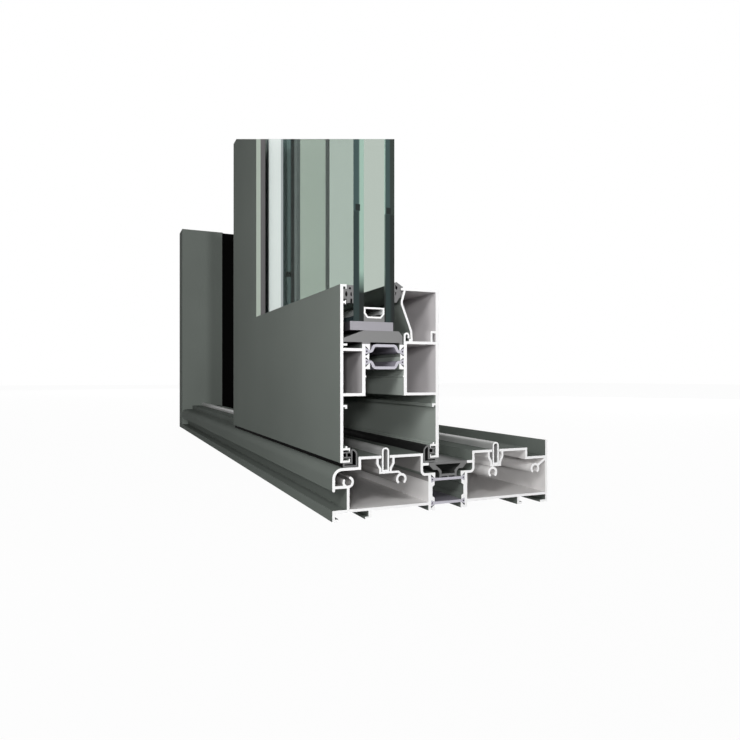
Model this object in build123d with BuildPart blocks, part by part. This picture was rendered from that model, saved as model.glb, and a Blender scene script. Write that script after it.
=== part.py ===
from build123d import *
import os

# A corner sample of a two-track sliding patio door, cut square through at its near end.
# Lengths are in millimetres. Depth runs along X from the weather side to the room side,
# the sill and its tracks run along Y from the near cut to the jamb, and Z is up.
# In a section, depth is counted from the sash's weather face.

# The whole sample
sample_height = 296.0
sill_length = 650.0
frame_depth = 139.2
nose_reach = 4.4
jamb_thickness = 34.0

# Sill
sill_wall = 1.5
deck_height = 33.4
ledge_height = 28.0
nose_radius = 5.5
nose_lip_low = 15.6
nose_tab_height = 17.9
weather_wall_depth = 3.7
deck_start = 10.3
deck_width = 38.7
floor_height = 4.4
upstand_height = 37.3
foot_inset = 16.1
foot_toe = 2.0
toe_thickness = 1.3
port_radius = 3.2
port_wall = 1.3
port_gap = 95.0
port_height = 20.1
port_web = 1.2
nose_port_turn = 110.0
arm_run = 3.0
room_port_inset = 9.2
room_port_lift = 0.5

# Tracks
track_depth = 26.1
track_spacing = 71.1
track_width = 4.2
track_wall = 0.9
track_low = 24.7
track_top = 37.7
pocket_floor = 1.1
pocket_wall = 1.3
pocket_reach = 4.75
pocket_shoulder = 29.0
pocket_waist = 26.2
pocket_gap = 0.35

# Insulating strips of the frame, and the claws that grip strips
break_wall_depth = 52.4
break_wall = 1.7
break_width = 21.9
break_swell = 0.85
strip_thickness = 1.5
strip_head = 3.0
strip_bend = 1.6
wire_radius = 0.5
wire_depth = 0.8
claw_reach = 2.65
claw_seat = 0.7
claw_rise = 3.85
claw_root = 0.9
claw_lip = 0.5
claw_stem = 1.2
claw_gap = 0.05
stout_reach = 2.2
stout_rise = 3.1
stout_chamfer = 1.4
upper_strip_height = 18.4
lower_strip_height = 5.2
cover_thickness = 1.3
cover_tab = 3.6
cover_gap = 0.15
cover_base_width = 11.2
cover_wing_width = 2.8
cover_wing_drop = 2.9
cover_knee = 1.7
cover_foot = 0.8

# Jamb
jamb_wall = 1.6
jamb_strip_front = 11.0
jamb_strip_rear = 25.0
jamb_cover_recess = 5.0
jamb_web_depth = 20.0
jamb_cover_edge = 1.0

# Sash
sash_foot = 30.7
sash_depth = 59.0
face_width = 93.6
rail_length = 284.5
face_wall = 1.65
room_wall = 2.0
chamber_wall = 1.9
thin_wall = 1.5
outer_chamber = 14.3
inner_chamber = 37.1
chamber_floor = 34.9
outer_roof = 60.2
inner_roof = 64.6
hook_height = 30.3
hook_reach = 2.2
hook_drop = 2.0
catch_wall = 1.1
catch_rise = 3.0
catch_radius = 1.75
catch_tip = 1.6
room_wall_step = 1.0
lower_slot = 53.05
upper_slot = 58.7
strip_crank = 3.15
strip_flat = 12.6
bump_height = 45.3
bump_radius = 0.5
glass_bite = 19.1

# The raking cut that takes the near top off the sash
rake_inset = 13.4
rake_along = 0.354
rake_across = 0.154

# Glazing
pane_thickness = 6.0
cavity = 12.0
pane_depth = 7.4
spacer_height = 5.8
spacer_lift = 1.9
spacer_base = 8.0
spacer_wall = 0.9
spacer_shoulder = 2.4
block_thickness = 4.7
block_length = 60.0
block_start = 5.5
block_end_gap = 20.0
block_inset = 0.8
bridge_lift = 0.95
bridge_shoulder = 1.9
bridge_side_gap = 0.8
bead_wall = 1.3
bead_seat = 41.9
bead_lip = 35.4
bead_throat = 35.9
bead_hook_depth = 54.4
bead_hook_rise = 6.0
bead_web = 1.2
bead_shoulder = 2.5
bead_bend_high = 7.2
bead_bend_low = 8.8
bead_knee = 5.6
bead_lean = 0.3
bead_foot = 1.6

# Glazing gaskets
gasket_seat = 1.85
gasket_top_gap = 0.25
gasket_drop = 9.7
gasket_tongue_top = 2.4
gasket_tongue_low = 7.6
gasket_hole = 0.6
gasket_hole_length = 2.9
groove_foot = 9.3
groove_hook = 2.3
wedge_drop = 8.2
wedge_peak = 2.9
wedge_lap = 1.3

# Flap seals and their grooves
seal_bulb = 9.7
seal_drop = 2.4
seal_wall = 0.85
seal_lip = 5.5
seal_stand = 0.5
seal_tail = 1.5
seal_rise = 7.1
seal_foot_low = 2.3
seal_foot_high = 5.6
seal_foot_wall = 0.7
seal_web_depth = 3.3
groove_lip = 1.1
groove_height = 7.6
groove_turn = 0.8
groove_nib = 1.0
nib_depth = 3.45

# Roller under the rail
roller_centre = 150.0
roller_length = 52.0
roller_plate = 3.0
roller_plate_gap = 2.0
roller_cheek = 2.5
roller_side_gap = 0.5
roller_cheek_rise = 11.0
wheel_radius = 11.0
wheel_width = 9.0
wheel_groove = 2.3
wheel_gap = 0.3
axle_radius = 3.0
axle_gap = 0.05

# Places that follow from these
depth_centre = frame_depth / 2 - nose_reach
room_face = frame_depth - nose_reach
sample_length = sill_length + jamb_thickness
near_end = -sample_length / 2
sill_end = near_end + sill_length
sash_end = near_end + rail_length
deck_end = deck_start + deck_width
break_start = break_wall_depth + break_wall
break_end = break_start + break_width
break_centre = (break_start + break_end) / 2
inner_deck_start = 2 * break_centre - deck_end
inner_deck_end = 2 * break_centre - deck_start
inner_track_depth = track_depth + track_spacing
glass_low = face_width - glass_bite
bridge_top = glass_low - block_thickness
claw_top = upper_slot + claw_rise
bridge_low = claw_top + bridge_lift
inner_pane_depth = pane_depth + pane_thickness + cavity
glass_back = inner_pane_depth + pane_thickness
glass_height = sample_height - sash_foot
slot_half = strip_head / 2 + claw_gap

sill_cut = Plane(origin=(-depth_centre, near_end, 0), x_dir=(1, 0, 0), z_dir=(0, -1, 0))
rail_cut = Plane(origin=(-depth_centre, near_end, sash_foot), x_dir=(1, 0, 0), z_dir=(0, -1, 0))
stile_base = Plane(origin=(-depth_centre, sash_end, sash_foot), x_dir=(1, 0, 0), z_dir=(0, 0, -1))
jamb_base = Plane(origin=(-depth_centre, sill_end, 0), x_dir=(1, 0, 0), z_dir=(0, 0, 1))
mitre = Plane(origin=(0, sash_end, sash_foot), x_dir=(1, 0, 0), z_dir=(0, 1, 1))
rake = Plane(origin=(-depth_centre, sash_end - rake_inset, sample_height), z_dir=(-rake_across, -rake_along, 1))


def plate(left, low, right, high, mode=Mode.ADD):
    """A straight wall of a section, given by its sides."""
    with Locations(((left + right) / 2, (low + high) / 2)):
        Rectangle(right - left, high - low, mode=mode)


def bent_wall(points, thickness, radius=None):
    """A wall of even thickness along a bent line, with round corners."""
    with BuildLine() as path:
        if radius:
            FilletPolyline(*points, radius=radius)
        else:
            Polyline(*points)
    trace(path.line, thickness)
    if not radius:
        with Locations(*points[1:-1]):
            Circle(thickness / 2)


def curved_wall(centre, radius, start, sweep, thickness):
    """A wall of even thickness along an arc, whose radius is to the outside of the wall."""
    with BuildLine() as path:
        CenterArc(centre, radius - thickness / 2, start, sweep)
    trace(path.line, thickness)


def screw_port(centre, opening):
    """A split ring with round tips that takes a thread-forming screw, open towards the angle given."""
    curved_wall(centre, port_radius, opening + port_gap / 2, 360 - port_gap, port_wall)
    with Locations(centre):
        with PolarLocations(port_radius - port_wall / 2, 2, opening - port_gap / 2, port_gap, endpoint=True):
            Circle(port_wall / 2)


def crimped_finger(face, height, side, up):
    """The finger of a claw that is crimped onto a strip's head."""
    throat = strip_thickness / 2 + claw_gap
    finger = [
        (0, claw_rise - claw_root),
        (claw_reach - claw_lip, throat),
        (claw_reach, throat),
        (claw_reach, claw_rise),
        (0, claw_rise),
    ]
    Polygon(*[(face + side * x, height + up * y) for x, y in finger], align=None)


def claw(face, height, side, up):
    """Two fingers on a wall's face that grip a strip, a stout one and a crimped one."""
    finger = [
        (0, slot_half),
        (claw_seat, slot_half),
        (stout_reach, strip_thickness / 2 + claw_gap),
        (stout_reach, stout_rise),
        (0, stout_rise + stout_chamfer),
    ]
    Polygon(*[(face + side * x, height - up * y) for x, y in finger], align=None)
    crimped_finger(face, height, side, up)


def strip_head_at(face, height, side):
    """The dovetailed end of an insulating strip inside its claw, with the hole for its glue wire."""
    half = strip_head / 2
    neck = strip_thickness / 2
    reach = stout_reach
    head = [(0, -half), (claw_seat, -half), (reach, -neck), (reach, neck), (claw_seat, half), (0, half)]
    Polygon(*[(face + side * x, height + y) for x, y in head], align=None)
    with Locations((face + side * wire_depth, height)):
        Circle(wire_radius, mode=Mode.SUBTRACT)


def flat_strip(start, end, height):
    """An insulating strip that runs straight from claw to claw."""
    plate(start, height - strip_thickness / 2, end, height + strip_thickness / 2)
    strip_head_at(start, height, 1)
    strip_head_at(end, height, -1)


def cranked_strip(start, end, height, crank):
    """An insulating strip whose middle is set off from its two heads."""
    middle = (start + end) / 2
    neck = claw_reach + strip_bend * 2 / 3
    bent_wall(
        [
            (start, height),
            (start + neck, height),
            (middle - strip_flat / 2, height + crank),
            (middle + strip_flat / 2, height + crank),
            (end - neck, height),
            (end, height),
        ],
        strip_thickness,
        strip_bend,
    )
    strip_head_at(start, height, 1)
    strip_head_at(end, height, -1)


def deck(left, right, track):
    """The raised deck of a sill half, with the pocket that holds its track rail."""
    under = deck_height - sill_wall
    mouth = track_width / 2 + pocket_gap
    waist = mouth + pocket_wall / 2
    plate(left, under, track - mouth, deck_height)
    plate(track + mouth, under, right, deck_height)
    for side in (-1, 1):
        bent_wall(
            [
                (track + side * pocket_reach, under + sill_wall / 2),
                (track + side * pocket_reach, pocket_shoulder),
                (track + side * waist, pocket_waist),
                (track + side * waist, track_low - pocket_floor / 2),
            ],
            pocket_wall,
        )
    edge = waist + pocket_wall / 2
    plate(track - edge, track_low - pocket_floor, track + edge, track_low)


def break_walls(face, side):
    """The wall towards the insulating strips, thicker between its two claws."""
    wall_back = face - side * break_wall
    low = lower_strip_height - claw_rise
    high = upper_strip_height + claw_rise
    plate(min(face, wall_back), low, max(face, wall_back), high)
    swell = face + side * break_swell
    swell_low = lower_strip_height + stout_rise
    plate(min(face, swell), swell_low, max(face, swell), upper_strip_height - stout_rise)
    claw(face, lower_strip_height, side, -1)
    claw(face, upper_strip_height, side, 1)


def foot(depth, toe):
    """A short foot under the sill's floor, with a toe to one side."""
    plate(depth, 0, depth + sill_wall, floor_height + sill_wall)
    plate(min(depth, depth + toe), 0, max(depth + sill_wall, depth + sill_wall + toe), toe_thickness)


# Sill, weather half: one extrusion with a round nose, a drained ledge and a raised deck
port_top = upper_strip_height + claw_rise
with BuildPart() as sill_outer_profile:
    with BuildSketch(sill_cut):
        nose_centre = (-nose_reach + nose_radius, ledge_height - nose_radius)
        curved_wall(nose_centre, nose_radius, 90, 90, sill_wall)
        plate(nose_centre[0], ledge_height - sill_wall, deck_start + sill_wall, ledge_height)
        lip_end = nose_lip_low + sill_wall / 2
        plate(-nose_reach, lip_end, -nose_reach + sill_wall, nose_centre[1])
        with Locations((-nose_reach + sill_wall / 2, lip_end)):
            Circle(sill_wall / 2)
        tab_low = nose_tab_height - sill_wall / 2
        plate(-nose_reach, tab_low, weather_wall_depth + sill_wall, tab_low + sill_wall)
        port_depth = weather_wall_depth + sill_wall / 2
        screw_port((port_depth, tab_low + port_radius), nose_port_turn)
        plate(weather_wall_depth, floor_height, weather_wall_depth + sill_wall, tab_low + sill_wall)
        plate(deck_start, ledge_height - sill_wall, deck_start + sill_wall, deck_height)
        deck(deck_start, deck_end, track_depth)
        bend = 2 * sill_wall
        shelf_low = port_top - sill_wall
        plate(deck_end - sill_wall, shelf_low + bend, deck_end, deck_height)
        curved_wall((deck_end - sill_wall + bend, shelf_low + bend), bend, 180, 90, sill_wall)
        plate(deck_end - sill_wall + bend, shelf_low, break_start, port_top)
        plate(deck_end - sill_wall, ledge_height - sill_wall, deck_end + cover_tab, ledge_height)
        screw_port((track_depth + 2 * pocket_reach, port_height), 270)
        arm_start = (track_depth, track_low - pocket_floor / 2)
        arm_bend = (track_depth + pocket_reach + arm_run, arm_start[1])
        arm_end = (track_depth + 2 * pocket_reach, port_height + port_radius - port_wall / 2)
        bent_wall([arm_start, arm_bend, arm_end], pocket_floor)
        plate(-nose_reach, floor_height, break_start, floor_height + sill_wall)
        plate(-nose_reach, 0, -nose_reach + sill_wall, floor_height + sill_wall)
        plate(-nose_reach, 0, -nose_reach + sill_wall + foot_toe, toe_thickness)
        foot(foot_inset, -foot_toe)
        break_walls(break_start, 1)
    extrude(amount=-sill_length)

# Sill, room half: the same deck, with an upstand along the room side
with BuildPart() as sill_inner_profile:
    with BuildSketch(sill_cut):
        deck(inner_deck_start, inner_deck_end, inner_track_depth)
        plate(inner_deck_start, shelf_low + bend, inner_deck_start + sill_wall, deck_height)
        curved_wall((inner_deck_start + sill_wall - bend, shelf_low + bend), bend, 270, 90, sill_wall)
        plate(break_end, shelf_low, inner_deck_start + sill_wall - bend, port_top)
        ledge_low = ledge_height - sill_wall
        plate(inner_deck_start - cover_tab, ledge_low, inner_deck_start + sill_wall, ledge_height)
        plate(inner_deck_end - sill_wall, ledge_low, inner_deck_end, deck_height)
        plate(inner_deck_end - sill_wall, ledge_low, room_face, ledge_height)
        inner_port = (inner_track_depth - track_width / 2, port_height)
        screw_port(inner_port, 270)
        ring = port_radius - port_wall / 2
        web = port_web / 2
        plate(inner_port[0] - web, port_height + ring, inner_port[0] + web, track_low - pocket_floor / 2)
        room_port = (room_face - room_port_inset, port_height + room_port_lift)
        screw_port(room_port, 270)
        corner = (room_face - sill_wall / 2, ledge_height - sill_wall)
        bent_wall([(room_port[0] + ring * 2 / 3, room_port[1] + ring * 2 / 3), corner], port_wall)
        plate(room_face - sill_wall, 0, room_face, upstand_height)
        plate(room_face - sill_wall - 2 * foot_toe, 0, room_face, toe_thickness)
        plate(break_end, floor_height, room_face, floor_height + sill_wall)
        foot(2 * break_centre - foot_inset - sill_wall, foot_toe)
        break_walls(break_end, -1)
    extrude(amount=-sill_length)

# Track rails: slim hollow rails with round tops, standing in the deck's pockets
rails = {}
for rail_name, centre in (("outer_track_rail", track_depth), ("inner_track_rail", inner_track_depth)):
    with BuildPart() as rails[rail_name]:
        with BuildSketch(sill_cut):
            shoulder = track_top - track_width / 2
            plate(centre - track_width / 2, track_low, centre + track_width / 2, shoulder)
            with Locations((centre, shoulder)):
                Circle(track_width / 2)
            inside = track_width / 2 - track_wall
            plate(centre - inside, track_low + track_wall, centre + inside, shoulder, Mode.SUBTRACT)
            with Locations((centre, shoulder)):
                Circle(inside, mode=Mode.SUBTRACT)
        extrude(amount=-sill_length)

# Insulating strips that join the two halves of the sill
with BuildPart() as sill_upper_strip:
    with BuildSketch(sill_cut):
        flat_strip(break_start, break_end, upper_strip_height)
    extrude(amount=-sill_length)
with BuildPart() as sill_lower_strip:
    with BuildSketch(sill_cut):
        flat_strip(break_start, break_end, lower_strip_height)
    extrude(amount=-sill_length)

# Cover over the insulating strips: a hollow profile that closes the gap between the decks
with BuildPart() as sill_centre_cover:
    with BuildSketch(sill_cut):
        cover_left = deck_end + cover_tab + cover_gap
        cover_right = inner_deck_start - cover_tab - cover_gap
        cover_low = ledge_height - cover_thickness
        plate(cover_left, cover_low, cover_right, ledge_height)
        base_low = upper_strip_height + strip_thickness / 2
        base = cover_base_width / 2
        wing = (cover_right - cover_left) / 2
        knee = cover_low - cover_wing_drop
        leg = [
            (wing, cover_low),
            (wing - cover_wing_width, knee),
            (base + cover_thickness, knee),
            (base, knee - cover_knee),
            (base, base_low),
            (base - cover_thickness, base_low),
            (base - cover_thickness, knee - cover_knee / 2),
            (base, knee + cover_knee / 3),
            (base + cover_thickness, knee + cover_wing_drop / 2),
            (wing - cover_wing_width - cover_thickness, cover_low),
        ]
        for side in (-1, 1):
            Polygon(*[(break_centre + side * x, y) for x, y in leg], align=None)
        floor_low = base_low + cover_foot
        plate(break_centre - base, floor_low, break_centre + base, floor_low + cover_thickness)
        plate(break_centre - cover_foot / 2, base_low, break_centre + cover_foot / 2, floor_low)
    extrude(amount=-sill_length)

# Jamb, weather half: a closed box with one web, standing behind the sill's end
with BuildPart() as jamb_outer_profile:
    with BuildSketch(jamb_base):
        plate(-nose_reach, 0, break_start, jamb_thickness)
        plate(-nose_reach + jamb_wall, jamb_wall, jamb_web_depth - jamb_wall / 2,
              jamb_thickness - jamb_wall, Mode.SUBTRACT)
        plate(jamb_web_depth + jamb_wall / 2, jamb_wall, break_start - jamb_wall,
              jamb_thickness - jamb_wall, Mode.SUBTRACT)
        claw(break_start, jamb_strip_front, 1, -1)
        claw(break_start, jamb_strip_rear, 1, 1)
    extrude(amount=sample_height)

# Jamb, room half
with BuildPart() as jamb_inner_profile:
    with BuildSketch(jamb_base):
        plate(break_end, 0, room_face, jamb_thickness)
        web_depth = 2 * break_centre - jamb_web_depth
        plate(break_end + jamb_wall, jamb_wall, web_depth - jamb_wall / 2,
              jamb_thickness - jamb_wall, Mode.SUBTRACT)
        plate(web_depth + jamb_wall / 2, jamb_wall, room_face - jamb_wall,
              jamb_thickness - jamb_wall, Mode.SUBTRACT)
        claw(break_end, jamb_strip_front, -1, -1)
        claw(break_end, jamb_strip_rear, -1, 1)
    extrude(amount=sample_height)

# Insulating strips and cover of the jamb
with BuildPart() as jamb_front_strip:
    with BuildSketch(jamb_base):
        flat_strip(break_start, break_end, jamb_strip_front)
    extrude(amount=sample_height)
with BuildPart() as jamb_rear_strip:
    with BuildSketch(jamb_base):
        flat_strip(break_start, break_end, jamb_strip_rear)
    extrude(amount=sample_height)
with BuildPart() as jamb_centre_cover:
    with BuildSketch(jamb_base):
        plate(break_start, jamb_cover_recess, break_end, jamb_cover_recess + cover_thickness)
        for side, face in ((1, break_start), (-1, break_end)):
            inner = face + side * cover_thickness
            plate(min(face, inner), jamb_cover_edge, max(face, inner), jamb_cover_recess)
    extrude(amount=sample_height)


def sash_outer_section():
    """The sash's weather half, the same in the bottom rail and the stile."""
    plate(0, 0, face_wall, face_width)
    plate(0, outer_roof - thin_wall, outer_chamber, outer_roof)
    plate(0, chamber_floor, outer_chamber, chamber_floor + thin_wall)
    plate(outer_chamber - chamber_wall, chamber_floor, outer_chamber, claw_top)
    sash_claws(outer_chamber, 1)
    seal_groove(0, 1)
    plate(0, hook_height - groove_lip, face_wall + hook_reach, hook_height)
    plate(face_wall + hook_reach - groove_lip, hook_height - hook_drop, face_wall + hook_reach, hook_height)
    plate(0, claw_top - groove_lip, face_wall + hook_reach, claw_top)
    gasket_lip = face_wall + gasket_seat
    plate(0, face_width - groove_lip, gasket_lip, face_width)
    plate(gasket_lip - groove_lip / 2, face_width - groove_hook, gasket_lip, face_width)
    low = face_width - groove_foot
    plate(0, low - groove_lip / 2, gasket_lip - groove_lip / 4, low + groove_lip / 2)
    plate(gasket_lip - groove_lip * 3 / 4, low - groove_lip, gasket_lip - groove_lip / 4, low + groove_lip)


def sash_inner_section():
    """The sash's room half, with the catch that the glazing bead clips over."""
    plate(sash_depth - room_wall, 0, sash_depth, inner_roof + room_wall_step)
    plate(inner_chamber, inner_roof - thin_wall, sash_depth, inner_roof)
    plate(inner_chamber, chamber_floor, sash_depth, chamber_floor + thin_wall)
    plate(inner_chamber, chamber_floor, inner_chamber + chamber_wall, inner_roof)
    sash_claws(inner_chamber, -1)
    seal_groove(sash_depth, -1)
    reach = sash_depth - room_wall - hook_reach
    plate(reach, hook_height - groove_lip, sash_depth - room_wall, hook_height)
    plate(reach, hook_height - hook_drop, reach + groove_lip, hook_height)
    turn = inner_roof + catch_rise
    plate(inner_chamber, inner_roof, inner_chamber + catch_wall, turn)
    curved_wall((inner_chamber + catch_radius, turn), catch_radius, 0, 180, catch_wall)
    catch_end = inner_chamber + 2 * catch_radius
    plate(catch_end - catch_wall, inner_roof + catch_tip, catch_end, turn)


def sash_claws(face, side):
    """The claws for both strips, with one flared finger between them, and a guide bump below."""
    crimped_finger(face, lower_slot, side, -1)
    crimped_finger(face, upper_slot, side, 1)
    low = lower_slot + strip_thickness / 2 + claw_gap
    high = upper_slot - strip_thickness / 2 - claw_gap
    middle = (low + high) / 2
    stem = claw_stem / 2
    flare = [
        (0, middle - stem),
        (claw_seat, middle - stem),
        (stout_reach, low),
        (stout_reach, high),
        (claw_seat, middle + stem),
        (0, middle + stem),
    ]
    Polygon(*[(face + side * x, y) for x, y in flare], align=None)
    with Locations((face, bump_height)):
        Circle(bump_radius)


def seal_groove(face, side):
    """The lips at the sash's foot that hold a flap seal."""
    lip = face + side * seal_lip
    top = groove_height
    for low in (0, top - groove_lip):
        plate(min(face, lip), low, max(face, lip), low + groove_lip)
    edge = lip - side * groove_lip / 2
    for low in (groove_lip, top - groove_lip - groove_turn):
        plate(min(edge, lip), low, max(edge, lip), low + groove_turn)
    nib = face + side * nib_depth
    plate(nib - groove_nib / 2, top, nib + groove_nib / 2, top + groove_nib)


def bead_section():
    """The glazing bead: a thin tube that clips in on the room side."""
    top = face_width - bead_wall / 2
    plate(bead_lip, face_width - bead_wall, sash_depth - room_wall, face_width)
    plate(sash_depth - room_wall, inner_roof + room_wall_step, sash_depth, face_width)
    bent_wall(
        [
            (bead_lip + bead_shoulder, top),
            (bead_throat, face_width - bead_bend_high),
            (bead_throat, face_width - bead_bend_low),
            (bead_seat - bead_lean, inner_roof + bead_knee),
            (bead_seat, inner_roof + bead_wall / 2),
        ],
        bead_web,
    )
    plate(bead_seat - bead_foot, inner_roof, bead_seat + bead_web / 2, inner_roof + bead_wall)
    hook_low = inner_roof + bead_hook_rise - bead_web
    plate(bead_hook_depth - bead_web / 2, inner_roof, bead_hook_depth + bead_web / 2, hook_low + bead_web)
    plate(bead_hook_depth, hook_low, sash_depth, hook_low + bead_web)


def outer_gasket_section():
    """The weather-side glazing gasket: a tongue in the groove and a hollow body on two legs."""
    back = face_wall + gasket_seat
    top = face_width - gasket_top_gap
    low = face_width - gasket_drop
    middle = (back + pane_depth) / 2
    plate(back, low, pane_depth, top)
    plate(face_wall, face_width - gasket_tongue_low, back, face_width - gasket_tongue_top)
    notch = middle + seal_wall / 4
    plate(notch, low, pane_depth - seal_wall * 3 / 4, low + gasket_tongue_top, Mode.SUBTRACT)
    heart = face_width - (gasket_tongue_low + gasket_tongue_top) / 2
    with Locations((middle, top - 2 * seal_wall)):
        Circle(gasket_hole, mode=Mode.SUBTRACT)
    with Locations((back - gasket_hole / 4, heart)):
        Ellipse(gasket_hole, gasket_hole_length / 2, mode=Mode.SUBTRACT)
    with Locations((pane_depth - seal_wall * 3 / 2, heart)):
        Ellipse(gasket_hole * 2 / 3, gasket_hole_length * 2 / 5, mode=Mode.SUBTRACT)


def inner_gasket_section():
    """The room-side glazing gasket: a wedge with two hollows, pushed in between the glass and the bead."""
    top = face_width + gasket_top_gap / 2
    side = bead_lip - gasket_top_gap / 2
    width = side - glass_back
    Polygon(
        (glass_back, face_width - wedge_drop),
        (glass_back, top + wedge_peak * 3 / 4),
        (glass_back + width / 3, top + wedge_peak),
        (side + wedge_lap / 3, top + wedge_peak / 3),
        (side + wedge_lap, top + wedge_peak / 6),
        (side + wedge_lap, top),
        (side, top),
        (side, face_width - wedge_drop / 2),
        (glass_back + width / 3, face_width - wedge_drop),
        align=None,
    )
    Polygon(
        (glass_back + width / 8, top + wedge_peak / 2),
        (glass_back + width / 2, top),
        (glass_back + width * 2 / 5, top - wedge_peak / 2),
        (glass_back + width / 6, top - wedge_peak / 4),
        align=None,
        mode=Mode.SUBTRACT,
    )
    Polygon(
        (glass_back + width / 10, face_width - wedge_drop * 0.3),
        (glass_back + width * 0.3, face_width - wedge_drop * 0.3),
        (glass_back + width / 5, face_width - wedge_drop * 0.6),
        align=None,
        mode=Mode.SUBTRACT,
    )


def seal_section(wall=face_wall):
    """The flap seal at the sash's foot: a ribbed foot in the groove, and a hollow bulb that folds under."""
    half = seal_wall / 2
    stem = seal_lip + seal_stand + half
    for low in (seal_foot_low, seal_foot_high - seal_foot_wall):
        plate(wall, low, stem, low + seal_foot_wall)
    plate(seal_web_depth, seal_foot_low, seal_web_depth + seal_foot_wall, seal_foot_high)
    outside = seal_bulb - half
    radius = seal_bulb - stem
    bent_wall(
        [
            (stem, seal_rise - half),
            (stem, -half),
            (seal_tail + half, -half),
            (seal_tail + half, half - seal_drop),
            (outside, half - seal_drop),
            (outside, seal_rise - radius),
        ],
        seal_wall,
    )
    curved_wall((stem, seal_rise - radius), radius, 0, 90, seal_wall)


def spacer_outline():
    """The spacer bar's outline between the panes, counted from the glass edge."""
    left = pane_depth + pane_thickness
    taper = (cavity - spacer_base) / 2
    with BuildLine() as outline:
        Polyline(
            (left, spacer_lift + spacer_height),
            (left, spacer_lift + spacer_shoulder),
            (left + taper, spacer_lift),
            (left + cavity - taper, spacer_lift),
            (left + cavity, spacer_lift + spacer_shoulder),
            (left + cavity, spacer_lift + spacer_height),
            close=True,
        )
    return make_face(outline.edges(), mode=Mode.PRIVATE)


def spacer_section():
    """The hollow spacer bar."""
    add(spacer_outline().moved(Location((0, glass_low))))
    offset(amount=-spacer_wall, mode=Mode.SUBTRACT)


def sealant_section():
    """The sealant between the panes, below and beside the spacer bar."""
    left = pane_depth + pane_thickness
    plate(left, glass_low, left + cavity, glass_low + spacer_lift + spacer_shoulder)
    add(spacer_outline().moved(Location((0, glass_low))), mode=Mode.SUBTRACT)


def room_side_seal_section():
    """The same seal turned round, for the sash's room-side wall."""
    seal_section(room_wall)
    mirror(about=Plane(origin=(sash_depth / 2, 0, 0), z_dir=(1, 0, 0)), mode=Mode.REPLACE)


sash_sections = {
    "outer_profile": sash_outer_section,
    "inner_profile": sash_inner_section,
    "upper_strip": lambda: cranked_strip(outer_chamber, inner_chamber, upper_slot, strip_crank),
    "lower_strip": lambda: cranked_strip(outer_chamber, inner_chamber, lower_slot, -strip_crank),
    "glazing_bead": bead_section,
    "outer_glazing_gasket": outer_gasket_section,
    "inner_glazing_gasket": inner_gasket_section,
    "outer_flap_seal": seal_section,
    "inner_flap_seal": room_side_seal_section,
    "spacer_bar": spacer_section,
    "edge_sealant": sealant_section,
}

# Bottom rail and stile: the same sections, cut to one mitre at the corner of the sash
sash_pieces = {}
for piece_name, section in sash_sections.items():
    with BuildPart() as sash_pieces["bottom_rail_" + piece_name]:
        with BuildSketch(rail_cut):
            section()
        extrude(amount=-rail_length)
        split(bisect_by=mitre, keep=Keep.BOTTOM)
    with BuildPart() as sash_pieces["stile_" + piece_name]:
        with BuildSketch(stile_base):
            section()
        extrude(amount=-glass_height)
        split(bisect_by=mitre, keep=Keep.TOP)
        split(bisect_by=rake, keep=Keep.BOTTOM)

# Glass: two panes with their edges standing in the glazing rebate
glass_length = rail_length - glass_low
panes = {}
for pane_name, depth in (("outer_glass_pane", pane_depth), ("inner_glass_pane", inner_pane_depth)):
    with BuildPart() as panes[pane_name]:
        with BuildSketch(rail_cut):
            plate(depth, glass_low, depth + pane_thickness, glass_height)
        extrude(amount=-glass_length)
        split(bisect_by=rake, keep=Keep.BOTTOM)

# Glazing bridge: a channel over the strips that carries the setting blocks
bridge_end = inner_chamber - bridge_side_gap
with BuildPart() as glazing_bridge:
    with BuildSketch(rail_cut):
        Polygon(
            (face_wall, bridge_low),
            (bridge_end, bridge_low),
            (bridge_end, bridge_top - claw_reach),
            (bridge_end - stout_reach, bridge_top),
            (outer_chamber - bridge_side_gap, bridge_top),
            (face_wall, bridge_low + bridge_shoulder),
            align=None,
        )
        plate(outer_chamber - chamber_wall, claw_top, outer_chamber + claw_reach, bridge_low)
        plate(inner_chamber - claw_reach, claw_top, bridge_end, bridge_low)
    extrude(amount=-glass_length)

# Setting blocks: the two blocks that carry the glass, one at each end of the rail
with BuildPart() as setting_blocks:
    far_block = glass_length - block_length - block_end_gap
    with BuildSketch(rail_cut, rail_cut.offset(-far_block)):
        plate(block_start, bridge_top, glass_back - block_inset, glass_low)
    extrude(amount=-block_length)

# Roller carriage: a plate screwed up under the chamber floors, with two cheeks for the wheel
wheel_height = track_top + wheel_gap - wheel_groove + wheel_radius - sash_foot
wheel_axis = Axis(
    (track_depth - depth_centre, near_end + roller_centre, sash_foot + wheel_height), (1, 0, 0)
)
axle_plane = Plane(
    origin=(track_depth - depth_centre, near_end + roller_centre, sash_foot + wheel_height), z_dir=(1, 0, 0)
)
axle_length = wheel_width + 2 * (roller_side_gap + roller_cheek)
with BuildPart() as roller_carriage:
    with BuildSketch(rail_cut.offset(roller_length / 2 - roller_centre)):
        plate_start = face_wall + roller_plate_gap
        plate_end = sash_depth - room_wall - roller_plate_gap
        plate(plate_start, chamber_floor - roller_plate, plate_end, chamber_floor)
        for side in (-1, 1):
            inner = track_depth + side * (wheel_width / 2 + roller_side_gap)
            outer = inner + side * roller_cheek
            plate(min(inner, outer), roller_cheek_rise, max(inner, outer), chamber_floor)
    extrude(amount=-roller_length)
    with BuildSketch(axle_plane):
        Circle(axle_radius + axle_gap)
    extrude(amount=axle_length, both=True, mode=Mode.SUBTRACT)

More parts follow.
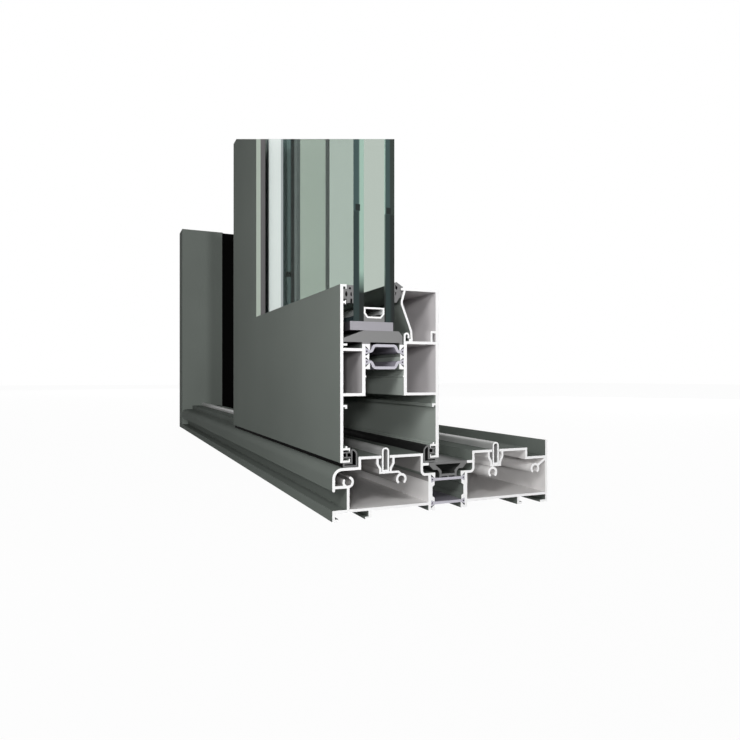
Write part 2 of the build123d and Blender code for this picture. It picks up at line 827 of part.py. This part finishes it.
# Wheel with a groove that runs on the rail's round top, and its axle
with BuildPart() as roller_wheel:
    with BuildSketch(rail_cut.offset(-roller_centre)):
        rim = wheel_height + wheel_radius
        plate(track_depth - wheel_width / 2, wheel_height + axle_radius + axle_gap,
              track_depth + wheel_width / 2, rim)
        with Locations((track_depth, rim)):
            Circle(wheel_groove + wheel_gap, mode=Mode.SUBTRACT)
    revolve(axis=wheel_axis)
with BuildPart() as roller_axle:
    with BuildSketch(axle_plane):
        Circle(axle_radius)
    extrude(amount=axle_length / 2, both=True)

pieces = {
    "sill_outer_profile": sill_outer_profile,
    "sill_inner_profile": sill_inner_profile,
    "sill_upper_strip": sill_upper_strip,
    "sill_lower_strip": sill_lower_strip,
    "sill_centre_cover": sill_centre_cover,
    **rails,
    "jamb_outer_profile": jamb_outer_profile,
    "jamb_inner_profile": jamb_inner_profile,
    "jamb_front_strip": jamb_front_strip,
    "jamb_rear_strip": jamb_rear_strip,
    "jamb_centre_cover": jamb_centre_cover,
    **sash_pieces,
    **panes,
    "glazing_bridge": glazing_bridge,
    "setting_blocks": setting_blocks,
    "roller_carriage": roller_carriage,
    "roller_wheel": roller_wheel,
    "roller_axle": roller_axle,
}
os.makedirs("parts", exist_ok=True)
for name, piece in pieces.items():
    piece.part.label = name
    export_step(piece.part, f"parts/{name}.step")
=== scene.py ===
from math import radians

import bpy
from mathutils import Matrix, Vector


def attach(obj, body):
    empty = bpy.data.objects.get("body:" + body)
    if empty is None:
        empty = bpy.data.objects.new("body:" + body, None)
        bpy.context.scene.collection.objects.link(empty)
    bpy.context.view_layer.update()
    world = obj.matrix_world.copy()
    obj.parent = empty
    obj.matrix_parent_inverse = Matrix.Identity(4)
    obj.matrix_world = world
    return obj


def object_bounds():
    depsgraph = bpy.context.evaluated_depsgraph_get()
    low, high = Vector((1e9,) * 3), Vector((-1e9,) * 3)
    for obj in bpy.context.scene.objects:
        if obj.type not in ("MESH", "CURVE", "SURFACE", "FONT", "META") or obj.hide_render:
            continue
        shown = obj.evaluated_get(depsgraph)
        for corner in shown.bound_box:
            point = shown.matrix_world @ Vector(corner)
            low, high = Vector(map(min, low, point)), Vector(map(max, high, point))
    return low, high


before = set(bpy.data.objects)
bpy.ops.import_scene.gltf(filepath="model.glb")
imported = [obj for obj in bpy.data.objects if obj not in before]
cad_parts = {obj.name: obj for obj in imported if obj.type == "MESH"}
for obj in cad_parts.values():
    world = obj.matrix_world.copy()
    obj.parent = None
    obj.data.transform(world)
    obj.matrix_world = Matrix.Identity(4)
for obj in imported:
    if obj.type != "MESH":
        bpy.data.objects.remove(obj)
cad_low, cad_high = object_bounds()

# Sill: two extruded aluminium halves, powder coated outside and left bare in their chambers,
# where the weather half's bare metal is painted darker in its nose and under its deck, as painted
# shade. The sample was sawn square through them and the sawn faces were painted white, so the
# section reads clearly.
near_cut = cad_low.y
top_cut = cad_high.z
skin = 0.00003  # a point this near to a cut's plane lies on the sawn face


def hex_colour(code):
    """An sRGB hex colour as the linear RGBA that a node wants."""
    parts = [int(code[i:i + 2], 16) / 255 for i in (1, 3, 5)]
    return [c / 12.92 if c <= 0.04045 else ((c + 0.055) / 1.055) ** 2.4 for c in parts] + [1.0]


def add_node(tree, kind, inputs=None, **settings):
    """Adds a node, sets its properties, and fills or links its inputs."""
    node = tree.nodes.new(kind)
    for name, value in settings.items():
        setattr(node, name, value)
    for socket, value in (inputs or {}).items():
        if isinstance(value, bpy.types.NodeSocket):
            tree.links.new(value, node.inputs[socket])
        else:
            node.inputs[socket].default_value = value
    return node


def start_material(name):
    """A material, its tree and Principled node, and the object's coordinates, whole and split."""
    material = bpy.data.materials.new(name)
    material.use_nodes = True
    tree = material.node_tree
    place = add_node(tree, "ShaderNodeTexCoord").outputs["Object"]
    axes = add_node(tree, "ShaderNodeSeparateXYZ", {0: place}).outputs
    return material, tree, tree.nodes["Principled BSDF"], place, axes


def join_masks(tree, masks, operation):
    """Several masks as one: MULTIPLY for where all are 1, MAXIMUM for where any is."""
    joined = masks[0]
    for mask in masks[1:]:
        joined = add_node(tree, "ShaderNodeMath", {0: joined, 1: mask},
                          operation=operation).outputs[0]
    return joined


def block_mask(tree, axes, block):
    """1 inside a block given as {"X": (low, high), ...} in metres, 0 outside."""
    sides = []
    for axis, (low, high) in block.items():
        middle, reach = (low + high) / 2, (high - low) / 2
        sides.append(add_node(tree, "ShaderNodeMath", {0: axes[axis], 1: middle, 2: reach},
                              operation="COMPARE").outputs[0])
    return join_masks(tree, sides, "MULTIPLY")


def blend_colour(tree, mask, below, above):
    """The colour above where the mask is 1, over the colour below."""
    # The colours of a Mix node are its inputs 6 and 7 and its output 2
    return add_node(tree, "ShaderNodeMix", {0: mask, 6: below, 7: above},
                    data_type="RGBA").outputs[2]


# The sash's raking cut passes through this point of its weather face, square to this line
sash_face = -0.0652
rake_start = Vector((sash_face, -0.0709, top_cut))
rake_normal = Vector((-0.154, -0.354, 1.0))


def sawn_faces(tree, axes, place):
    """1 on the faces left by the saw: the near end, the top and the sash's raking cut."""
    along = add_node(tree, "ShaderNodeVectorMath", {0: place, 1: rake_normal},
                     operation="DOT_PRODUCT").outputs["Value"]
    raked = add_node(tree, "ShaderNodeMath",
                     {0: along, 1: rake_start.dot(rake_normal), 2: 2 * skin},
                     operation="COMPARE").outputs[0]
    return join_masks(tree, [
        block_mask(tree, axes, {"Y": (near_cut - skin, near_cut + skin)}),
        block_mask(tree, axes, {"Z": (top_cut - skin, top_cut + skin)}),
        raked,
    ], "MAXIMUM")


noise_span = {"From Min": 0.3, "From Max": 0.7}  # most of a noise's values lie between these


def coated_aluminium(name, bare, bare_blocks, other_blocks=(), slope=None):
    """Powder coated aluminium, white where it was sawn and bare or another colour in blocks."""
    material, tree, shader, place, axes = start_material(name)
    # A grey-green coat whose shade drifts a little, in clouds about 110 mm across
    drift = add_node(tree, "ShaderNodeTexNoise",
                     {"Vector": place, "Scale": 9.0, "Detail": 2.0}).outputs["Fac"]
    shade = add_node(tree, "ShaderNodeMapRange",
                     {"Value": drift, **noise_span, "To Min": 0.94, "To Max": 1.05}).outputs[0]
    coat = hex_colour("#737974")[:3]
    colour = add_node(tree, "ShaderNodeVectorMath", {0: coat, "Scale": shade},
                      operation="SCALE").outputs[0]
    for other, block in other_blocks:
        colour = blend_colour(tree, block_mask(tree, axes, block), colour, hex_colour(other))
    bare_mask = join_masks(tree, [block_mask(tree, axes, block) for block in bare_blocks],
                           "MAXIMUM")
    if slope:
        bare_mask = join_masks(tree, [bare_mask, slope(tree, axes)], "MULTIPLY")
    colour = blend_colour(tree, bare_mask, colour, hex_colour(bare))
    sawn = sawn_faces(tree, axes, place)
    colour = blend_colour(tree, sawn, colour, hex_colour("#F6F6F6"))
    tree.links.new(colour, shader.inputs["Base Color"])
    # Orange peel, as a powder coat has: soft waves about 1.5 mm long
    peel_wave = 0.0015
    peel = add_node(tree, "ShaderNodeTexNoise",
                    {"Vector": place, "Scale": 1 / peel_wave, "Detail": 1.0}).outputs["Fac"]
    bump = add_node(tree, "ShaderNodeBump", {"Height": peel, "Strength": 0.06, "Distance": 0.0003})
    tree.links.new(bump.outputs[0], shader.inputs["Normal"])
    # Satin, and matt where it is bare or sawn. It mirrors next to nothing, because the white
    # surround would wash the coat out at low angles
    matt = join_masks(tree, [bare_mask, sawn], "MAXIMUM")
    rough = add_node(tree, "ShaderNodeMapRange",
                     {"Value": matt, "To Min": 0.5, "To Max": 0.65}).outputs[0]
    tree.links.new(rough, shader.inputs["Roughness"])
    shader.inputs["Specular IOR Level"].default_value = 0.001
    return material


def dress(material, *nodes):
    """Gives CAD nodes a material in each of their slots."""
    for node in nodes:
        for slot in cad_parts[node].material_slots:
            slot.material = material


bare_sill = "#EAE8E7"
sill_painted_shade = "#9A9897"
sill_floor = 0.00585
shaded_from = 0.0175  # painted shade in the weather half's chambers from this height up
weather_chambers = [
    {"X": (-0.0615, -0.0176), "Z": (sill_floor, shaded_from)},
    {"X": (-0.0182, -0.01275), "Z": (sill_floor, shaded_from)},
]
# Painted shade: the weather half's bare metal is painted darker in its nose and under its deck
shaded_chambers = [
    {"X": (-0.0682, -0.0532), "Z": (0.01795, 0.0254)},
    {"X": (-0.0670, -0.0532), "Z": (0.0254, 0.0266)},
    {"X": (-0.0615, -0.0176), "Z": (shaded_from, 0.0266)},
    {"X": (-0.0182, -0.01275), "Z": (shaded_from, 0.0200)},
    {"X": (-0.0535, -0.0176), "Z": (0.0260, 0.03195)},
]
room_chambers = [
    {"X": (0.0174, 0.0532), "Z": (sill_floor, 0.03195)},
    {"X": (0.01245, 0.018), "Z": (sill_floor, 0.0200)},
    {"X": (0.0528, 0.06815), "Z": (sill_floor, 0.0266)},
]
dress(coated_aluminium("powder_coated_sill_weather_half", bare_sill, weather_chambers,
                       [(sill_painted_shade, chamber) for chamber in shaded_chambers]),
      "sill_outer_profile")
dress(coated_aluminium("powder_coated_sill_room_half", bare_sill, room_chambers),
      "sill_inner_profile")

# Jamb: two closed aluminium extrusions stood behind the sill's end and screwed to it through
# the sill's screw ports. Coated like the sill.
jamb_chambers = {"X": (-0.068, 0.068), "Y": (0.3097, 0.3404)}
dress(coated_aluminium("powder_coated_jamb", bare_sill, [jamb_chambers]),
      "jamb_outer_profile", "jamb_inner_profile")

# Track rails: slim aluminium rails with round tops, left with a mill finish and pushed into the
# sill's pockets. The rollers have polished fine lines along them, which are drawn 0.6 mm wide
# so that they show.
material, tree, shader, place, axes = start_material("mill_finish_aluminium")
polished_line = 0.0006
stretched = add_node(tree, "ShaderNodeMapping", {0: place, "Scale": (1.0, 0.02, 1.0)}).outputs[0]
lines = add_node(tree, "ShaderNodeTexNoise", {
    "Vector": stretched, "Scale": 1 / polished_line, "Detail": 3.0,
}).outputs["Fac"]
rough = add_node(tree, "ShaderNodeMapRange",
                 {"Value": lines, **noise_span, "To Min": 0.28, "To Max": 0.42}).outputs[0]
tree.links.new(rough, shader.inputs["Roughness"])
colour = blend_colour(tree, sawn_faces(tree, axes, place),
                      hex_colour("#BEBEBD"), hex_colour("#FBFBFB"))
tree.links.new(colour, shader.inputs["Base Color"])
shader.inputs["Metallic"].default_value = 0.3
dress(material, "outer_track_rail", "inner_track_rail")


# Insulating strips: extruded glass-filled polyamide, rolled into the claws of the profiles to
# keep the two sides of the door apart. Violet-grey, dull, with fine streaks along it.
def dull_plastic(name, body, cut, rough=0.55, streak=0.04, gloss=0.5, painted_shade_block=None):
    """Plastic or rubber, its own colour where it was sawn, with painted shade in one block."""
    material, tree, shader, place, axes = start_material(name)
    # Streaks 0.8 mm wide, which run along the sill and up the jamb
    streak_width = 0.0008
    stretched = add_node(tree, "ShaderNodeMapping",
                         {0: place, "Scale": (1.0, 0.05, 0.05)}).outputs[0]
    streaks = add_node(tree, "ShaderNodeTexNoise", {
        "Vector": stretched, "Scale": 1 / streak_width, "Detail": 2.0,
    }).outputs["Fac"]
    shade = add_node(tree, "ShaderNodeMapRange", {
        "Value": streaks, **noise_span, "To Min": 1 - streak, "To Max": 1 + streak,
    }).outputs[0]
    colour = add_node(tree, "ShaderNodeVectorMath", {0: hex_colour(body)[:3], "Scale": shade},
                      operation="SCALE").outputs[0]
    if painted_shade_block:
        colour = blend_colour(tree, block_mask(tree, axes, painted_shade_block),
                              colour, hex_colour("#0C0C0C"))
    colour = blend_colour(tree, sawn_faces(tree, axes, place), colour, hex_colour(cut))
    tree.links.new(colour, shader.inputs["Base Color"])
    grain = add_node(tree, "ShaderNodeMapRange", {
        "Value": streaks, "To Min": rough - 0.08, "To Max": rough + 0.08,
    }).outputs[0]
    tree.links.new(grain, shader.inputs["Roughness"])
    shader.inputs["Specular IOR Level"].default_value = gloss
    return material


dress(dull_plastic("glass_filled_polyamide", "#8E8B95", "#BDBBC4"),
      "sill_upper_strip", "sill_lower_strip", "jamb_front_strip", "jamb_rear_strip",
      "bottom_rail_upper_strip", "bottom_rail_lower_strip", "stile_lower_strip")
dress(dull_plastic("slate_polyamide", "#7F9095", "#BDBBC4"), "stile_upper_strip")

# Centre covers: extruded PVC profiles that close the gap between the two aluminium sides.
# The sill's is dark grey with a faint shine, the jamb's black and dull.
dress(dull_plastic("dark_grey_pvc", "#3C3D3C", "#6E6E6E", rough=0.4), "sill_centre_cover")
dress(dull_plastic("black_pvc", "#080808", "#0C0C0C", rough=0.8, gloss=0.02),
      "jamb_centre_cover")

# Sash: the same pair of aluminium extrusions for the bottom rail and the stile, mitred at
# their corner. Coated outside, with the coat in the open channels of the rail painted paler, as
# painted light reaching into them, and bare in the closed chambers.
rail_foot = 0.0307
stile_edge = -0.0575
stile_width = 0.0936
daylight_edge = stile_edge - stile_width
# Places in the section: from the weather face inwards, then from the rail's foot upwards or
# from the stile's outer edge inwards
outer_chamber = ((0.0016, 0.01245), (0.03635, 0.05875))
inner_chamber = ((0.03895, 0.05705), (0.03635, 0.06315))
bead_floor = ((0.0426, 0.05705), (0.0645, 0.07))
roller_channel = ((0.0016, 0.05745), (0.0, 0.0347))
upper_channel = ((0.0138, 0.0377), (0.0340, 0.0560))
rebate_side = ((0.0300, 0.0425), (0.0560, 0.0930))


def rail_block(span):
    """A place in the section as a block of the bottom rail."""
    (left, right), (low, high) = span
    return {"X": (sash_face + left, sash_face + right), "Z": (rail_foot + low, rail_foot + high)}


def stile_block(span):
    """A place in the section as a block of the stile."""
    (left, right), (low, high) = span
    return {"X": (sash_face + left, sash_face + right),
            "Y": (stile_edge - high, stile_edge - low)}


# The same bare aluminium in two shades, darker in the weather half and paler in the room half and
# beads, as painted shade and light in their chambers
bare_metal_painted_darker = "#AEABAC"
bare_metal_painted_paler = "#CFCCCD"
# Painted light: the coat in the rail's open channels is painted paler
channel_painted_light = "#A3AAA4"
# Painted light: the stile's daylight faces are painted pale, as lit strongly from the front
daylight_face = {"Y": (daylight_edge - skin, daylight_edge + skin)}
# Painted shade: a thin dark band across the stile's rebate side
stile_painted_shade_band = {**stile_block(rebate_side), "Z": (0.1635, 0.1680)}
dress(coated_aluminium("powder_coated_rail_weather_half", bare_metal_painted_darker,
                       [rail_block(outer_chamber)],
                       [(channel_painted_light, rail_block(roller_channel))]),
      "bottom_rail_outer_profile")
dress(coated_aluminium("powder_coated_rail_room_half", bare_metal_painted_paler,
                       [rail_block(inner_chamber), rail_block(bead_floor)],
                       [(channel_painted_light, rail_block(roller_channel)),
                        (channel_painted_light, rail_block(upper_channel))]),
      "bottom_rail_inner_profile")
dress(coated_aluminium("powder_coated_stile_weather_half", bare_metal_painted_darker,
                       [stile_block(outer_chamber)], [("#AAB4A9", daylight_face)]),
      "stile_outer_profile")
dress(coated_aluminium("powder_coated_stile_room_half", bare_metal_painted_paler,
                       [stile_block(inner_chamber), stile_block(bead_floor)],
                       [("#93A4A9", stile_block(rebate_side)), ("#2A2F30", stile_painted_shade_band)]),
      "stile_inner_profile")

# Glazing beads: thin aluminium tubes that clip over the catch on the room side and hold the
# glass. Their slanted wall is coated towards the glass and bare inside.
bead_left = 0.0359
bead_chamber = ((bead_left, 0.05705), (0.0646, 0.09232))
bead_shoulder = 0.0848  # the wall stands upright above this height and leans below it
bead_lean = 0.39


def inside_bead(height_of):
    """Makes a mask that is 1 on the room side of the bead's slanted wall."""
    def mask(tree, axes):
        height = height_of(tree, axes)
        fall = add_node(tree, "ShaderNodeMath", {0: bead_shoulder, 1: height},
                        operation="SUBTRACT").outputs[0]
        lean = add_node(tree, "ShaderNodeMath", {0: fall, 1: 0.0}, operation="MAXIMUM").outputs[0]
        wall = add_node(tree, "ShaderNodeMath", {0: lean, 1: bead_lean, 2: sash_face + bead_left},
                        operation="MULTIPLY_ADD").outputs[0]
        return add_node(tree, "ShaderNodeMath", {0: axes["X"], 1: wall},
                        operation="GREATER_THAN").outputs[0]
    return mask


def height_in_rail(tree, axes):
    """How far a point of the rail stands above the sash's foot."""
    return add_node(tree, "ShaderNodeMath", {0: axes["Z"], 1: rail_foot},
                    operation="SUBTRACT").outputs[0]


def height_in_stile(tree, axes):
    """How far a point of the stile stands in from the sash's edge."""
    return add_node(tree, "ShaderNodeMath", {0: stile_edge, 1: axes["Y"]},
                    operation="SUBTRACT").outputs[0]


dress(coated_aluminium("powder_coated_rail_bead", bare_metal_painted_paler, [rail_block(bead_chamber)],
                       slope=inside_bead(height_in_rail)), "bottom_rail_glazing_bead")
# The stile bead's daylight face is painted near white, as painted light
dress(coated_aluminium("powder_coated_stile_bead", bare_metal_painted_paler, [stile_block(bead_chamber)],
                       [("#EFF1ED", daylight_face)], inside_bead(height_in_stile)),
      "stile_glazing_bead")

# Gaskets and flap seals: extruded rubber, pushed into grooves. It is dull, black along the rail
# and grey along the stile, and shows paler where it was sawn. The rail's weather-side flap seal
# is painted blacker still, as painted shade in the gap under the rail.
sawn_rubber = "#737373"
dress(dull_plastic("black_rubber", "#1B1B1B", sawn_rubber, rough=0.6),
      "bottom_rail_outer_glazing_gasket", "bottom_rail_inner_glazing_gasket",
      "bottom_rail_inner_flap_seal")
# Painted shade: the gap under the rail, as a blacker copy of the rubber
dress(dull_plastic("black_rubber_painted_shade", "#0A0A0A", sawn_rubber, rough=0.8, gloss=0.05),
      "bottom_rail_outer_flap_seal")
dress(dull_plastic("grey_rubber", "#5E5C5D", sawn_rubber, rough=0.6),
      "stile_outer_glazing_gasket", "stile_outer_flap_seal", "stile_inner_flap_seal")
# Painted shade: the inner gasket's side towards the glass is painted black
glass_side_shade = {"X": (-0.0345, -0.0333), "Y": (-0.1520, -0.1300)}
dress(dull_plastic("grey_rubber_shaded_at_glass", "#8E8F94", sawn_rubber, rough=0.6,
                   painted_shade_block=glass_side_shade), "stile_inner_glazing_gasket")

# Spacer bars: roll-formed aluminium tubes that keep the panes apart, bright on the side that
# faces the cavity, duller on the shoulder and painted dark inside, as painted shade in the
# hollow, with grey sealant run in behind.
material, tree, shader, place, axes = start_material("bright_rolled_aluminium")
bar_hollow = (-0.0508, -0.0409)
above_rail_bar = (0.1150, 0.2960)
# Painted shade: the hollow inside the bars
inside = join_masks(tree, [
    block_mask(tree, axes, {"X": bar_hollow, "Z": (0.1079, 0.1122)}),
    block_mask(tree, axes, {"X": bar_hollow, "Y": (-0.1390, -0.1347), "Z": above_rail_bar}),
], "MAXIMUM")
shoulder = block_mask(tree, axes, {"X": (-0.0417, -0.0395), "Z": above_rail_bar})
colour = blend_colour(tree, shoulder, hex_colour("#FAFCFB"), hex_colour("#B4B6BA"))
colour = blend_colour(tree, inside, colour, hex_colour("#3B3B3B"))
colour = blend_colour(tree, sawn_faces(tree, axes, place), colour, hex_colour("#FBFBFB"))
tree.links.new(colour, shader.inputs["Base Color"])
rolled_patch = 0.004
rolled = add_node(tree, "ShaderNodeTexNoise", {
    "Vector": place, "Scale": 1 / rolled_patch, "Detail": 2.0,
}).outputs["Fac"]
rough = add_node(tree, "ShaderNodeMapRange",
                 {"Value": rolled, "To Min": 0.35, "To Max": 0.5}).outputs[0]
tree.links.new(rough, shader.inputs["Roughness"])
shader.inputs["Metallic"].default_value = 0.1
dress(material, "bottom_rail_spacer_bar", "stile_spacer_bar")
dress(dull_plastic("grey_polysulphide", "#5C6C73", "#797979", rough=0.5),
      "bottom_rail_edge_sealant", "stile_edge_sealant")

# Glass: two panes of float glass, the room-side one with a coating that holds heat back. Their
# sawn edges are painted teal and dark, as painted shade where light reaches them only after a
# long way through the glass, with a painted pale highlight strip at one side. They are painted
# darker lower down, where less light reaches them.
pane_thickness = 0.006
light_line = (0.1640, 0.1630)  # the raking cut's light ends here
gasket_line = (0.1320, 0.1200)  # from here down the gaskets shade the sides
edge_mark = ((0.0011, 0.0038), (0.1637, 0.1672))  # a painted shadow mark, across the edge and upwards


def float_glass(name, tint, left, edge_bands):
    """Tinted glass; its sawn edge has bands from left to right, for three heights downwards."""
    material, tree, shader, place, axes = start_material(name)
    across = add_node(tree, "ShaderNodeMapRange", {
        "Value": axes["X"], "From Min": left, "From Max": left + pane_thickness,
    }).outputs[0]
    edges = []
    for bands in edge_bands:
        ramp = add_node(tree, "ShaderNodeValToRGB", {0: across})
        stops = ramp.color_ramp.elements
        for index, (start, colour) in enumerate(bands):
            stop = stops[index] if index < 2 else stops.new(start)
            stop.position = start
            stop.color = colour
        edges.append(ramp.outputs[0])
    colour = edges[0]
    for (high, low), lower in zip((light_line, gasket_line), edges[1:]):
        step = add_node(tree, "ShaderNodeMapRange",
                        {"Value": axes["Z"], "From Min": high, "From Max": low}).outputs[0]
        colour = blend_colour(tree, step, colour, lower)
    (mark_left, mark_right), mark_heights = edge_mark
    mark = block_mask(tree, axes, {"X": (left + mark_left, left + mark_right), "Z": mark_heights})
    colour = blend_colour(tree, mark, colour, hex_colour("#18201F"))
    edge = add_node(tree, "ShaderNodeBsdfPrincipled",
                    {"Base Color": colour, "Roughness": 0.3, "Specular IOR Level": 0.25})
    through = add_node(tree, "ShaderNodeBsdfTransparent", {"Color": hex_colour(tint)})
    mirror = add_node(tree, "ShaderNodeBsdfGlossy",
                      {"Color": hex_colour("#E6EEEA"), "Roughness": 0.02})
    # A faint mirror that grows towards grazing angles, as polished glass has
    grazing = add_node(tree, "ShaderNodeLayerWeight", {"Blend": 0.5}).outputs["Facing"]
    steep = add_node(tree, "ShaderNodeMath", {0: grazing, 1: 4.0}, operation="POWER").outputs[0]
    gloss = add_node(tree, "ShaderNodeMapRange",
                     {"Value": steep, "To Min": 0.005, "To Max": 0.04}).outputs[0]
    pane = add_node(tree, "ShaderNodeMixShader",
                    {0: gloss, 1: through.outputs[0], 2: mirror.outputs[0]})
    sawn = sawn_faces(tree, axes, place)
    whole = add_node(tree, "ShaderNodeMixShader",
                     {0: sawn, 1: pane.outputs[0], 2: edge.outputs[0]})
    # The panes let the lamps through, so they throw no shadow
    clear = add_node(tree, "ShaderNodeBsdfTransparent")
    shadow = add_node(tree, "ShaderNodeLightPath").outputs["Is Shadow Ray"]
    whole = add_node(tree, "ShaderNodeMixShader",
                     {0: shadow, 1: whole.outputs[0], 2: clear.outputs[0]})
    tree.links.new(whole.outputs[0], tree.nodes["Material Output"].inputs["Surface"])
    tree.nodes.remove(shader)
    return material


# Painted light and shade on the sawn edges: a teal core, a pale highlight strip, a dark side and
# the gaskets' shade
teal_core = hex_colour("#384A49")
pale_strip = hex_colour("#93AEA1")
dark_side = hex_colour("#2D3531")
gasket_shade = hex_colour("#1A1F1E")
low_light = 0.48  # the share of the light that reaches the edges below the light line
dim_core, dim_strip, dim_side = (
    [part * low_light for part in lit[:3]] + [1.0] for lit in (teal_core, pale_strip, dark_side))
outer_pane_left = sash_face + 0.0074
inner_pane_left = sash_face + 0.0254
dress(float_glass("pale_green_float_glass", "#F4F7F6", outer_pane_left, [
    [(0.5, teal_core), (0.62, pale_strip)],
    [(0.5, dim_core), (0.62, pale_strip)],
    [(0.5, dim_core), (0.62, gasket_shade)],
]), "outer_glass_pane")
dress(float_glass("coated_green_float_glass", "#D8DED9", inner_pane_left, [
    [(0.06, pale_strip), (0.12, teal_core), (0.5, teal_core), (0.6, dark_side)],
    [(0.06, dim_strip), (0.12, dim_core), (0.5, dim_core), (0.6, dim_side)],
    [(0.12, gasket_shade), (0.2, dim_core), (0.5, dim_core), (0.75, gasket_shade)],
]), "inner_glass_pane")

# Glazing bridge and setting blocks: moulded plastic pieces in the rebate that carry the panes.
# They are dull, with bodies painted dark as painted shade in the rebate, and paler where they
# were sawn.
dress(dull_plastic("mid_grey_plastic", "#4A4B4C", "#7E7E7E"), "glazing_bridge")
dress(dull_plastic("pale_grey_plastic", "#47454C", "#9A989E"), "setting_blocks")

# Roller: a zinc plated steel carriage and axle with an acetal wheel that is grooved for the
# track rail. The plating is cloudy, in patches about 12 mm across, and the wheel is white and
# smooth.
material, tree, shader, place, _ = start_material("zinc_plated_steel")
plating_cloud = 0.012
bloom = add_node(tree, "ShaderNodeTexNoise", {
    "Vector": place, "Scale": 1 / plating_cloud, "Detail": 3.0,
}).outputs["Fac"]
colour = blend_colour(tree, bloom, hex_colour("#A9ABA9"), hex_colour("#C7C8C2"))
tree.links.new(colour, shader.inputs["Base Color"])
rough = add_node(tree, "ShaderNodeMapRange",
                 {"Value": bloom, "To Min": 0.3, "To Max": 0.45}).outputs[0]
tree.links.new(rough, shader.inputs["Roughness"])
shader.inputs["Metallic"].default_value = 1.0
dress(material, "roller_carriage", "roller_axle")
dress(dull_plastic("white_acetal", "#E3E3DD", "#E3E3DD", rough=0.3), "roller_wheel")

# Room-side seal of the stile: an extruded strip of soft grey rubber with a flat back and a
# round nose, bonded along the stile's daylight edge, where it meets the sash of the inner track.
seal_low, seal_high = 0.126, 0.296
seal_back = sash_face + 0.059
seal_radius = 0.003
nose_centre = 0.0015
bpy.ops.object.select_all(action="DESELECT")
bpy.ops.mesh.primitive_cylinder_add(
    vertices=48, radius=seal_radius, depth=seal_high - seal_low,
    location=(seal_back + nose_centre, daylight_edge + seal_radius, (seal_low + seal_high) / 2))
room_seal = bpy.context.object
room_seal.name = "stile_room_seal"
bpy.ops.object.transform_apply(location=True, rotation=True, scale=True)
bpy.ops.object.mode_set(mode="EDIT")
for cut_point, cut_normal in (((seal_back, 0, 0), (-1, 0, 0)), (rake_start, rake_normal)):
    bpy.ops.mesh.select_all(action="SELECT")
    bpy.ops.mesh.bisect(plane_co=cut_point, plane_no=cut_normal, use_fill=True, clear_outer=True)
bpy.ops.object.mode_set(mode="OBJECT")
room_seal.data.materials.append(dull_plastic("soft_grey_rubber", "#6C6A6D", sawn_rubber, rough=0.6))
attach(room_seal, "sash")

# Floor: a plain white studio floor that keeps the sample's soft shadow. It lies just under the
# sill's foot.
floor_level = -0.0002
bpy.ops.object.select_all(action="DESELECT")
bpy.ops.mesh.primitive_plane_add(size=12.0, location=(0, 0, floor_level))
floor = bpy.context.object
floor.name = "studio_floor"
material = bpy.data.materials.new("white_studio_floor")
material.use_nodes = True
tree = material.node_tree
shader = tree.nodes["Principled BSDF"]
shader.inputs["Base Color"].default_value = hex_colour("#B8B8B8")
shader.inputs["Roughness"].default_value = 0.9
glow = add_node(tree, "ShaderNodeEmission", {"Color": (1, 1, 1, 1), "Strength": 1.0})


def seen_by_camera(tree):
    """1 for rays that reach the camera, straight, off gloss or through glass, 0 for others."""
    rays = add_node(tree, "ShaderNodeLightPath").outputs
    kinds = ("Is Camera Ray", "Is Glossy Ray", "Is Transmission Ray")
    return join_masks(tree, [rays[kind] for kind in kinds], "MAXIMUM")


# The camera sees mostly plain white, and a little of the lit floor, which holds the shadow
white_share = 0.97
share = add_node(tree, "ShaderNodeMath", {0: seen_by_camera(tree), 1: white_share},
                 operation="MULTIPLY").outputs[0]
surface = add_node(tree, "ShaderNodeMixShader",
                   {0: share, 1: shader.outputs[0], 2: glow.outputs[0]})
tree.links.new(surface.outputs[0], tree.nodes["Material Output"].inputs["Surface"])
floor.data.materials.append(material)

# Studio light: a white surround, with two soft boxes in front of the sample, two small ones
# near it, and one each on its room side and behind it. Small boxes would mirror as hard spots,
# so gloss doesn't see them.
surround_light = 0.10
world = bpy.data.worlds.new("white_surround")
bpy.context.scene.world = world
world.use_nodes = True
tree = world.node_tree
level = add_node(tree, "ShaderNodeMapRange", {
    "Value": seen_by_camera(tree), "To Min": surround_light, "To Max": 1.0,
}).outputs[0]
background = tree.nodes["Background"]
background.inputs["Color"].default_value = (1, 1, 1, 1)
tree.links.new(level, background.inputs["Strength"])
sample_middle = Vector((0, -0.1, 0.12))
small_box = 0.15
for name, place, size, power in (
    ("camera_side_soft_box", (-1.44, -3.33, 0.54), 0.3, 33.0),
    ("front_soft_box", (-0.40, -3.60, 0.28), 0.1, 27.0),
    ("overhead_soft_box", (-0.35, -0.80, 0.45), 0.15, 1.5),
    ("weather_side_soft_box", (-0.29, -0.45, 0.17), 0.12, 0.31),
    ("room_side_soft_box", (1.60, 1.00, 0.25), 0.6, 28.0),
    ("back_soft_box", (0.30, 3.50, 0.80), 0.6, 70.0),
):
    lamp = bpy.data.lights.new(name, "AREA")
    lamp.size = size
    lamp.energy = power
    holder = bpy.data.objects.new(name, lamp)
    bpy.context.collection.objects.link(holder)
    holder.location = place
    aim = sample_middle - Vector(place)
    holder.rotation_euler = aim.to_track_quat("-Z", "Y").to_euler()
    holder.visible_glossy = size > small_box

# Camera: level, a little above the sill, looking along the tracks from the weather side, with
# the picture's frame shifted up a little as by a shift lens.
lens = bpy.data.cameras.new("sample_camera")
lens.lens = 30.05
lens.shift_y = 0.0099
camera = bpy.data.objects.new("sample_camera", lens)
bpy.context.collection.objects.link(camera)
camera.location = (-0.1797, -0.6443, 0.0755)
camera.rotation_euler = (radians(90), 0, radians(-23.5))
bpy.context.scene.camera = camera
bpy.context.scene.view_settings.view_transform = "Standard"
